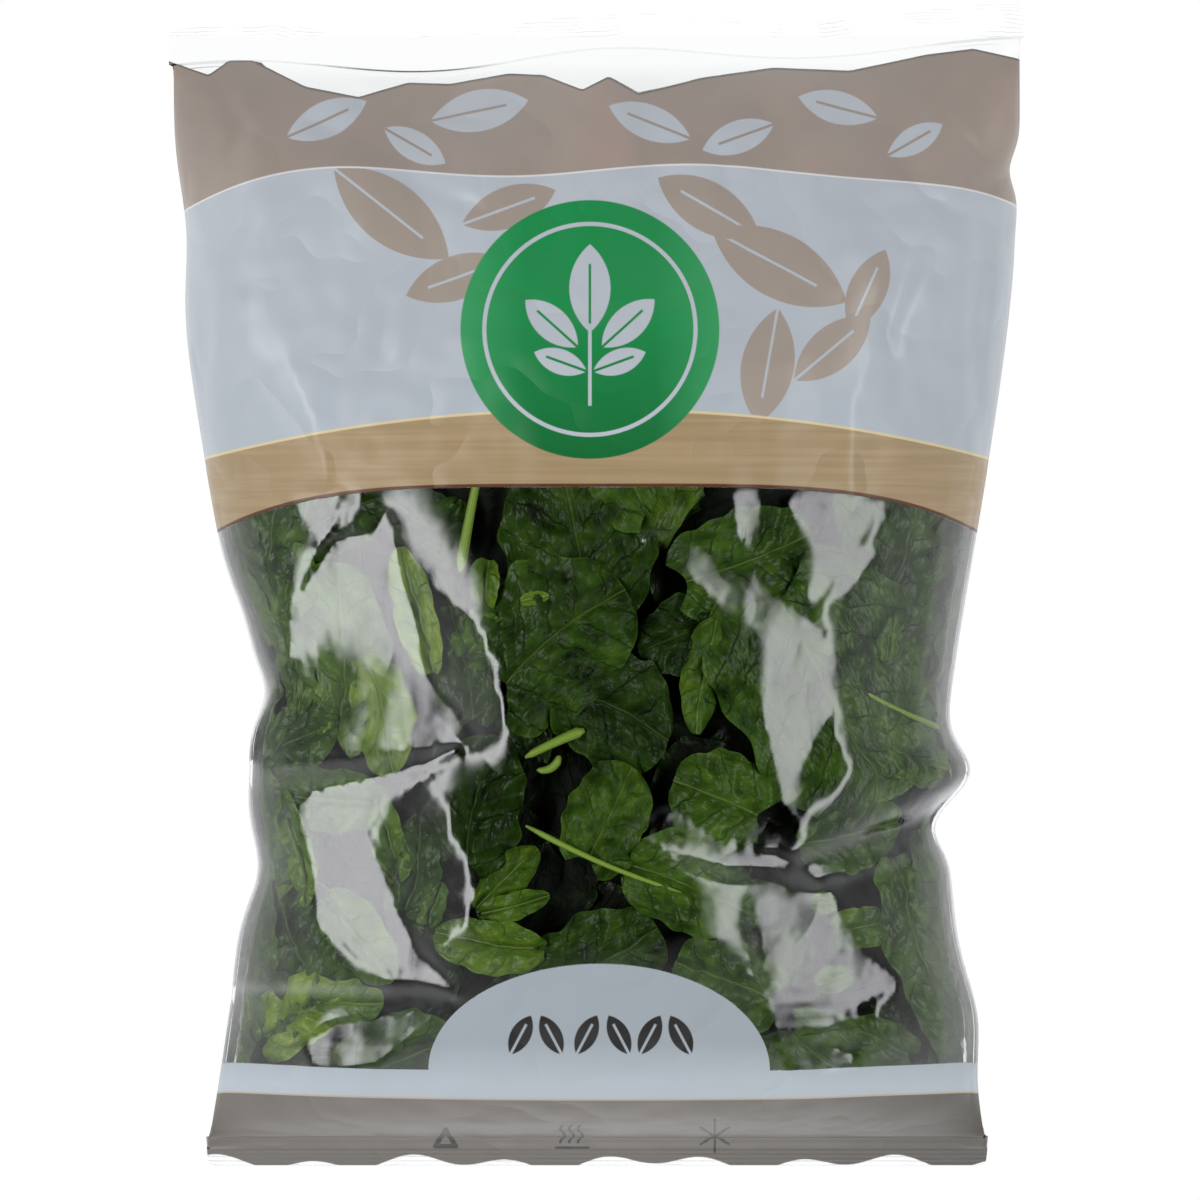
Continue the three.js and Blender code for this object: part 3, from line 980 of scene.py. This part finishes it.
class Paint:
    """A material or a world, and the nodes that are added to it."""

    def __init__(self, owner):
        self.owner = owner
        owner.use_nodes = True
        self.tree = owner.node_tree
        self.tree.nodes.clear()

    def node(self, kind, settings=None, **sockets):
        made = self.tree.nodes.new(kind)
        for key, value in (settings or {}).items():
            setattr(made, key, value)
        for key, value in sockets.items():
            name = key.replace("_", " ")
            self.feed(made.inputs[int(name[1:]) if name[0] == "n" and name[1:].isdigit() else name], value)
        return made

    def feed(self, socket, value):
        value = value.value if isinstance(value, Sum) else value
        if isinstance(value, bpy.types.NodeSocket):
            self.tree.links.new(value, socket)
        else:
            socket.default_value = value

    def number(self, work, *parts, clamped=False):
        made = self.node("ShaderNodeMath", {"operation": work, "use_clamp": clamped})
        for socket, part in zip(made.inputs, parts):
            self.feed(socket, part)
        return Sum(self, made.outputs[0])

    def ramp(self, t):
        return self.number("ADD", t, 0, clamped=True)

    def colour(self, share, low, high):
        made = self.node("ShaderNodeMix", {"data_type": "RGBA", "clamp_factor": True})
        self.feed(made.inputs["Factor"], share)
        for socket, part in zip([s for s in made.inputs if s.type == "RGBA"], (low, high)):
            self.feed(socket, (*part, 1) if isinstance(part, tuple) else part)
        return next(s for s in made.outputs if s.type == "RGBA")

    def curve(self, x, points, reach):
        """The height over x of an edge through the given points, for x from -reach to reach."""
        made = self.node("ShaderNodeFloatCurve", Value=x / (2 * reach) + 0.5)
        low, high = min(p[1] for p in points) - 1, max(p[1] for p in points) + 1
        line = made.mapping.curves[0]
        for k, (at, height) in enumerate(points):
            place = (at / (2 * reach) + 0.5, (height - low) / (high - low))
            knot = line.points[k] if k < 2 else line.points.new(*place)
            knot.location, knot.handle_type = place, "VECTOR"
        made.mapping.update()
        return Sum(self, made.outputs[0]) * (high - low) + low

    def noise(self, at, scale, detail=2.0, rough=0.5, stretch=None):
        if stretch:
            at = self.node("ShaderNodeMapping", Vector=at, Scale=stretch).outputs["Vector"]
        made = self.node("ShaderNodeTexNoise", Vector=at, Scale=scale, Detail=detail, Roughness=rough)
        return Sum(self, made.outputs[0])

    def uv(self, name):
        made = self.node("ShaderNodeUVMap", {"uv_map": name}).outputs["UV"]
        split = self.node("ShaderNodeSeparateXYZ", Vector=made)
        return made, Sum(self, split.outputs["X"]), Sum(self, split.outputs["Y"])

    def value(self, name):
        return Sum(self, self.node("ShaderNodeAttribute", {"attribute_name": name}).outputs["Fac"])

    def inside(self):
        return self.node("ShaderNodeTexCoord").outputs["Object"]

    def bump(self, height, strength, distance):
        made = self.node("ShaderNodeBump", Height=height, Strength=strength, Distance=distance)
        return made.outputs["Normal"]

    def shader(self, **sockets):
        return self.node("ShaderNodeBsdfPrincipled", **sockets).outputs[0]

    def show(self, shader):
        self.node("ShaderNodeOutputMaterial", Surface=shader)
        return self.owner


def leaf_green(name, stalk=False):
    """Spinach, yellow green down to near black by tone, where the low tones are painted shade, with sunken
    veins painted darker and a crinkled, satin skin.
    """
    paint = Paint(bpy.data.materials.new(name))
    tone = paint.value("tone")
    at = paint.inside()
    if stalk:
        fine = paint.noise(paint.uv("leaf")[0], 9, 2.0, 0.6, (1.0, 3.0, 1.0))
        green = paint.colour(tone * 0.7 + fine * 0.3, (0.05, 0.11, 0.012), (0.27, 0.40, 0.06))
        return paint.show(paint.shader(Base_Color=green, Roughness=0.4, Normal=paint.bump(fine, 0.3, 0.0005)))
    flat, x, y = paint.uv("leaf")
    patch = paint.noise(at, 75, 3.0, 0.62)
    streak = paint.noise(flat, 26, 2.0, 0.6, (1.0, 0.45, 1.0))
    side = abs(x) * 100
    own = paint.value("own")
    warped = y * 100 - side * 0.7 + (patch - 0.5) * 13 + own * 20
    wave = abs((warped * math.pi / (own * 7 + 9)).sin())
    groove = wave.short_of(0.09, 0.12) * side.past(2.0, 3.0) * streak.past(0.47, 0.25)
    middle = (side + (streak - 0.5) * 0.8).short_of(0.45, 0.6)
    spread = (tone * 2.2 + 0.25).least(1)
    # Colour follows the bump's patch and streak noise, lighter where raised and darker in the hollows: partly
    # the leaf's own mottle, partly painted shade. The sunken side veins are painted darker as well, painted
    # shade in the grooves.
    level = tone - 0.02 + ((patch - 0.5) * 1.15 + (streak - 0.5) * 0.6) * spread - groove * 0.18
    # The lowest tones run to near black: painted shade for leaves deep in the heap.
    low = paint.colour((level / 0.28).least(1), (0.0012, 0.003, 0.0005), (0.019, 0.047, 0.005))
    high = paint.colour((level - 0.28) / 0.32, low, (0.052, 0.108, 0.010))
    green = paint.colour((level - 0.6) / 0.4, high, (0.14, 0.21, 0.015))
    green = paint.colour(middle * tone * 0.9, green, (0.15, 0.23, 0.05))
    height = patch * 0.8 + streak * 0.9 - groove * 0.35 - middle * 0.3
    normal = paint.bump(height, 0.75, 0.0022)
    rough = 0.75 - tone.past(0.05, 0.06) * 0.42
    return paint.show(paint.shader(Base_Color=green, Roughness=rough, Specular_IOR_Level=0.36, Normal=normal))


# Near black with a faint mottle: the colour of the painted shade under the heap.
def shade_sheet_finish():
    paint = Paint(bpy.data.materials.new("heap_shade"))
    at = paint.inside()
    green = paint.colour(paint.noise(at, 60, 3.0), (0.002, 0.004, 0.0015), (0.006, 0.012, 0.004))
    return paint.show(paint.shader(Base_Color=green, Roughness=0.8))


PALE = (0.355, 0.39, 0.435)
PALE_TOP = (0.40, 0.43, 0.475)
PALE_LOW = (0.40, 0.45, 0.50)
PALE_DOME = (0.29, 0.33, 0.365)
TAUPE = (0.295, 0.25, 0.215)
TAUPE_DEEP = (0.26, 0.215, 0.19)
TAUPE_LOW = (0.145, 0.132, 0.118)
TAUPE_SHADED = (0.10, 0.092, 0.082)
TAN = (0.285, 0.208, 0.115)
TAN_LIGHT = (0.338, 0.25, 0.145)
CREAM = (0.55, 0.46, 0.27)
CREAM_LOW = (0.42, 0.36, 0.29)
BROWN = (0.085, 0.03, 0.014)
GREEN = (0.011, 0.215, 0.06)
GREEN_DEEP = (0.005, 0.11, 0.026)
GREEN_LIGHT = (0.045, 0.29, 0.11)
BLACK = (0.004, 0.004, 0.004)

DISC_X, DISC_Y, DISC_RADIUS = -2.4, 86.4, 44.0
DOME_X, DOME_HALF_WIDTH, DOME_HEIGHT = 0.7, 58, 36.5

# Where the upper band ends at the clear top: across the bag, and along it
TOP_EDGE_OF_PRINT = (
    (-146, 178), (-132, 173), (-125, 178), (-117, 178), (-99, 169), (-81, 165.5), (-64, 170.5), (-50, 170),
    (-30, 173.5), (-18, 173), (-5, 168), (4, 172.5), (14, 167), (35, 172), (60, 175.5), (86, 174.5),
    (112, 180), (128, 182), (146, 178),
)

# Simple leaves of the print: middle, the way its tip points, length, width
LEAVES_ON_TAUPE = (
    ((-92, 158), 24, 30, 12),
    ((-62, 149), -30, 24, 10),
    ((-40, 161), 12, 34, 14),
    ((18, 157), 158, 30, 12),
    ((48, 152), 200, 26, 11),
    ((82, 162), 165, 28, 11),
    ((108, 151), 30, 22, 9),
)
LEAVES_ON_PALE = (
    ((-70, 126), -38, 50, 21),
    ((-48, 104), -160, 36, 15),
    ((-30, 128), 20, 34, 14),
    ((38, 128), 150, 40, 17),
    ((62, 108), -28, 52, 22),
    ((80, 80), 40, 34, 15),
    ((58, 74), -100, 40, 18),
    ((92, 100), 66, 30, 13),
)
SPRIG = (
    ((0, 14), 90, 30, 14),
    ((-13, 2), 138, 24, 11),
    ((13, 2), 42, 24, 11),
    ((-10, -11), 160, 19, 8.5),
    ((10, -11), 20, 19, 8.5),
)
ROW_OF_LEAVES = (-26, -15.5, -3.5, 7.5, 18, 28.5)  # across the dome


def sprig_leaf(paint, place, at, points, length, width):
    """1 inside a pointed leaf with a fine bare line down its middle, and 0 outside it. place is in metres."""
    moved = paint.node(
        "ShaderNodeMapping", {"vector_type": "TEXTURE"}, Vector=place,
        Location=(at[0] * MM, at[1] * MM, 0), Rotation=(0, 0, math.radians(points)), Scale=(MM, MM, 1),
    ).outputs[0]
    half = length / 2
    bow = (half * half - width * width / 4) / width
    reach = bow + width / 2
    mirrored = paint.node("ShaderNodeVectorMath", {"operation": "ABSOLUTE"}, n0=moved).outputs[0]
    far = paint.node("ShaderNodeVectorMath", {"operation": "DISTANCE"}, n0=mirrored, n1=(0, -bow, 0))
    gone = far.outputs["Value"]
    split = paint.node("ShaderNodeSeparateXYZ", Vector=moved).outputs
    bare = abs(Sum(paint, split["Y"])).past(0.45, 0.3).most(Sum(paint, split["X"]).past(half * 0.55, 0.5))
    return Sum(paint, gone).short_of(reach, 0.35) * bare


def any_of(masks):
    found = masks[0]
    for mask in masks[1:]:
        found = found.most(mask)
    return found


def clear_gloss(paint, normal, calm=0.0):
    """Clear film: what lies behind it, with the gloss of both its faces, which is less where it is calm."""
    fresnel = Sum(paint, paint.node("ShaderNodeFresnel", IOR=1.5, Normal=normal).outputs[0])
    mirror = paint.ramp(fresnel * 1.9 * (1 - 0.9 * calm) if calm else fresnel * 1.9)
    clear = paint.node("ShaderNodeBsdfTransparent", Color=(0.985, 0.99, 0.99, 1)).outputs[0]
    gloss = paint.node(
        "ShaderNodeBsdfGlossy", {"distribution": "BECKMANN"}, Color=(0.97, 0.97, 1.0, 1), Roughness=0.17,
        Normal=normal,
    )
    return paint.node("ShaderNodeMixShader", n0=mirror, n1=clear, n2=gloss.outputs[0]).outputs[0]


def window_finish():
    paint = Paint(bpy.data.materials.new("clear_film"))
    at = paint.inside()
    crinkle = paint.noise(at, 60, 2.0, 0.6) * 0.26 + abs(paint.noise(at, 22, 1.0) - 0.5) * 1.4
    normal = paint.bump(crinkle, 1.0, 0.001)
    return paint.show(clear_gloss(paint, normal))


def film_finish():
    """Clear film with its printed bands. The print's place is its UV map, in metres on the bag's face."""
    paint = Paint(bpy.data.materials.new("printed_film"))
    map_place, u, v = paint.uv("print")
    x, y = u * 1000, v * 1000
    side = paint.value("side")
    at = paint.inside()
    face = side.past(0.0, 0.1)
    share = abs(x / 140)

    top_edge = paint.curve(x, TOP_EDGE_OF_PRINT, 150)
    taupe_end = 140.5 - 12 * share**6 + 2.0 * (x * 0.05).sin()
    tan_start = 58.5 - 18 * share**2.2
    tan_end = 34.0 - 22 * share**4.5
    low_start = -165.8 + 4 * share**2
    low_taupe = -176.2 + 3.5 * share**2
    low_edge = -196.5 + 1.6 * (x * 0.19 + 1).sin() + 1.2 * (x * 0.083).sin()

    dome = (1 - ((x - DOME_X) / DOME_HALF_WIDTH) ** 2).most(0).root() * DOME_HEIGHT + low_start
    low_top = low_start.most(dome * face + low_start * (1 - face))

    def over(line, soft=0.3):
        return paint.ramp((y - line) / soft + 0.5)

    # Colours of the bands, from the top down
    mottle = paint.noise(at, 22, 2.0, 0.6)
    taupe = paint.colour((mottle - 0.3) * 2.5, TAUPE_DEEP, TAUPE)
    taupe = paint.colour((mottle - 0.58) * 4, taupe, (0.33, 0.24, 0.215))
    pale = paint.colour(paint.ramp((y - 60) / 80), PALE, PALE_TOP)
    pale = paint.colour((mottle - 0.5) * 1.2, pale, (0.31, 0.345, 0.385))
    grain = paint.noise(at, 40, 2.0, 0.6, (0.3, 14.0, 1.0))
    tan = paint.colour((grain - 0.42) * 3, TAN, TAN_LIGHT)

    def leaves(place, rows):
        return any_of([sprig_leaf(paint, place, *row) for row in rows])

    # Pale leaves on the upper band, and grey brown leaves on the pale field below it
    on_taupe = leaves(map_place, LEAVES_ON_TAUPE) * face
    on_pale = leaves(map_place, LEAVES_ON_PALE) * face
    taupe = paint.colour(on_taupe, taupe, PALE_TOP)
    pale = paint.colour(on_pale, pale, TAUPE)

    # The green disc with its pale ring and sprig
    to_disc = (-DISC_X * MM, -DISC_Y * MM, 0)
    disc_place = paint.node("ShaderNodeMapping", Vector=map_place, Location=to_disc).outputs[0]
    disc_x, disc_y = x - DISC_X, y - DISC_Y
    gone = (disc_x * disc_x + disc_y * disc_y).root()
    disc = gone.short_of(DISC_RADIUS, 0.4) * face
    ring = gone.past(35.2, 0.3) * gone.short_of(36.6, 0.3)
    sprig = leaves(disc_place, SPRIG)
    rib = (1 - abs(disc_x).past(0.6, 0.3)) * disc_y.past(-26, 0.4) * (1 - disc_y.past(2, 0.4))
    green = paint.colour((disc_y + 46) / 50, GREEN_DEEP, GREEN)
    green = paint.colour((abs(disc_x) - 22) / 30, green, GREEN_LIGHT)
    badge = paint.colour(any_of([ring, sprig, rib]), green, PALE_TOP)

    ink = paint.colour(over(taupe_end), pale, taupe)
    ink = paint.colour(abs(y - taupe_end).short_of(0.3, 0.3), ink, (0.6, 0.6, 0.62))
    ink = paint.colour((top_edge - y).short_of(0.6, 0.4), ink, TAUPE_LOW)
    ink = paint.colour(over(tan_start + 0.9), CREAM, ink)
    ink = paint.colour(over(tan_start), tan, ink)
    ink = paint.colour(disc, ink, badge)
    ink = paint.colour(over(tan_end), BROWN, ink)
    # The lower band darkens towards the right: painted shade.
    low_band = paint.colour((x - 20) / 110, TAUPE_LOW, TAUPE_SHADED)
    low = paint.colour(over(low_taupe + 0.5), low_band, CREAM_LOW)
    low = paint.colour(over(low_taupe + 1.1), low, paint.colour((y + 170) / 14, PALE_LOW, PALE_DOME))
    in_row = [((at, -153.5), 62 + 56 * (k % 2), 15, 7) for k, at in enumerate(ROW_OF_LEAVES)]
    row = leaves(map_place, in_row) * face
    low = paint.colour(row, low, BLACK)

    # Signs in the bottom band: a tent shape, three heat waves over a bar, and a snowflake
    def line(ax, ay, bx, by, half):
        run = math.hypot(bx - ax, by - ay)
        cx, cy = (bx - ax) / run, (by - ay) / run
        along = (x - ax) * cx + (y - ay) * cy
        across = abs((y - ay) * cx - (x - ax) * cy)
        past_end = (abs(along - run / 2) - run / 2).most(0)
        return 1 - (across * across + past_end * past_end).root().past(half, 0.15)

    flake_x, flake_y, arm = 40, -187.5, 5.6
    flake = [
        line(flake_x - arm * math.cos(a), flake_y - arm * math.sin(a),
             flake_x + arm * math.cos(a), flake_y + arm * math.sin(a), 0.4)
        for a in (math.radians(90), math.radians(30), math.radians(150))
    ]
    bars = [line(-14, -191.5, -3, -191.5, 0.4)]
    waves = [
        abs(x + 8.7 - shift - 0.8 * (y * 1.4).sin()).short_of(0.45, 0.15)
        * (y.past(-190, 0.2) * y.short_of(-184, 0.2))
        for shift in (-3, 0, 3)
    ]
    tent = [
        line(ax, ay, bx, by, 0.8)
        for ax, ay, bx, by in (
            (-55, -191, -51.5, -185.5), (-51.5, -185.5, -48, -191), (-55, -191, -48, -191)
        )
    ]
    signs = any_of(flake + bars + waves + tent) * face
    low = paint.colour(signs, low, (0.02, 0.018, 0.016))
    ink = paint.colour(over(-60), low, ink)

    upper = over(tan_end - 1.1) * (1 - over(top_edge))
    lower = (1 - over(low_top)) * over(low_edge)
    inked = upper + lower

    # Fine crinkles everywhere, and the ribs of the two crimped seals
    crinkle = paint.noise(at, 60, 2.0, 0.6)
    sealed = over(TOP_EDGE - 11.5) + (1 - over(-192))
    ribs = (y * 4.2).sin() * sealed
    crumpled = abs(mottle - 0.5) * inked * 8
    normal = paint.bump(crinkle * (0.24 + 0.6 * sealed) + ribs * 0.2 + crumpled, 1.0, 0.001)

    plain = clear_gloss(paint, normal, calm=over(174, 6.0))
    wavy = abs((y * 2.4 + (mottle - 0.5) * 22 + (crinkle - 0.5) * 5).sin())
    crimps = wavy.short_of(0.16, 0.16) * sealed * crinkle.past(0.47, 0.1)
    # The crimped seals are a whitish frost with grey crimp lines, partly the seals' own milky look and partly
    # painted light: the frost also glows with its own colour as emission, which keeps the seals white.
    frost = paint.colour(crimps, (0.93, 0.93, 0.93), (0.40, 0.40, 0.41))
    frost_and_glow = paint.shader(
        Base_Color=frost, Roughness=0.5, Emission_Color=frost, Emission_Strength=0.35, Normal=normal
    )
    veil = sealed * (0.22 + ribs * 0.14) + crimps * 0.45
    plain = paint.node("ShaderNodeMixShader", n0=paint.ramp(veil), n1=plain, n2=frost_and_glow).outputs[0]
    printed = paint.shader(
        Base_Color=ink, Roughness=0.38, Specular_IOR_Level=0.35, Coat_Weight=0.3, Coat_Roughness=0.16,
        Normal=normal,
    )
    film = paint.node("ShaderNodeMixShader", n0=paint.ramp(inked), n1=plain, n2=printed)
    return paint.show(film.outputs[0])


printed_film, clear_film = film_finish(), window_finish()
for half in (film_face, film_back):
    half.data.materials.append(printed_film)
    half.data.materials.append(clear_film)
    half.visible_shadow = False  # thin and clear, so what lies inside is lit as if it were open

leaf_finish, stalk_finish = leaf_green("leaf_skin"), leaf_green("leaf_stalk", stalk=True)
for name, piece in leaf_pieces.items():
    piece.data.materials.append(stalk_finish if name == "leaf_stalks" else leaf_finish)
shade_sheet.data.materials.append(shade_sheet_finish())

# What rides on what

for piece in (film_face, film_back, shade_sheet, *leaf_pieces.values()):
    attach(piece, "root")
for half in (film_face, film_back):
    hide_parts("filled_bag")
for name, piece in leaf_pieces.items():
    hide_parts("filled_bag")
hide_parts("filled_bag")

# Floor, light and camera

scene = bpy.context.scene
scene.view_settings.view_transform = "Standard"
scene.cycles.max_bounces, scene.cycles.diffuse_bounces, scene.cycles.glossy_bounces = 5, 2, 3

ground = bmesh.new()
bmesh.ops.create_grid(ground, x_segments=1, y_segments=1, size=3)
floor = placed("floor", ground)
white = Paint(bpy.data.materials.new("floor_white"))
floor.data.materials.append(white.show(white.node("ShaderNodeEmission", Strength=1.0).outputs[0]))
floor.data.materials[0].cycles.emission_sampling = "NONE"


LIT = (0, -0.05, 0.05)  # where the lights point


def softbox(name, place, size, power):
    """A light whose longer side runs along the bag. size is its length and its width."""
    light = bpy.data.lights.new(name, "AREA")
    light.shape, light.size, light.size_y, light.energy = "RECTANGLE", size[0], size[1], power
    held = bpy.data.objects.new(name, light)
    held.location = place
    held.rotation_euler = (Vector(LIT) - Vector(place)).to_track_quat("-Z", "Y").to_euler()
    scene.collection.objects.link(held)
    return held


def fill(name, place, power):
    """Light for what is inside the bag, which doesn't mirror in the film."""
    softbox(name, place, (1.4, 0.45), power).visible_glossy = False


softbox("softbox_left", (-0.85, -0.12, 0.98), (1.3, 0.27), 6.2)
softbox("softbox_right", (0.85, -0.12, 0.98), (1.3, 0.27), 4.7)
fill("fill_left", (-0.80, -0.1, 1.02), 7.5)
fill("fill_right", (0.80, -0.1, 1.02), 5.8)

scene.world = bpy.data.worlds.new("studio")
sky = Paint(scene.world)
split = sky.node("ShaderNodeSeparateXYZ", Vector=sky.node("ShaderNodeTexCoord").outputs["Generated"])
fall = sky.node(
    "ShaderNodeMapRange", Value=split.outputs["Z"], From_Min=0.2, From_Max=0.8, To_Min=0.85, To_Max=0.0
)
glow = sky.node("ShaderNodeBackground", Color=(1, 1, 1, 1), Strength=fall.outputs[0])
sky.node("ShaderNodeOutputWorld", Surface=glow.outputs[0])

VIEW_WIDTH = 0.408  # of the picture, where the bag's outline is
camera = bpy.data.cameras.new("camera")
eye = bpy.data.objects.new("camera", camera)
scene.collection.objects.link(eye)
eye.location = (0.001, -0.0054, EYE_HEIGHT)
camera.sensor_width = 36
camera.lens = 36 * (EYE_HEIGHT - SIDE_HEIGHT * MM) / VIEW_WIDTH
camera.clip_start, camera.clip_end = 0.05, 20
scene.camera = eye
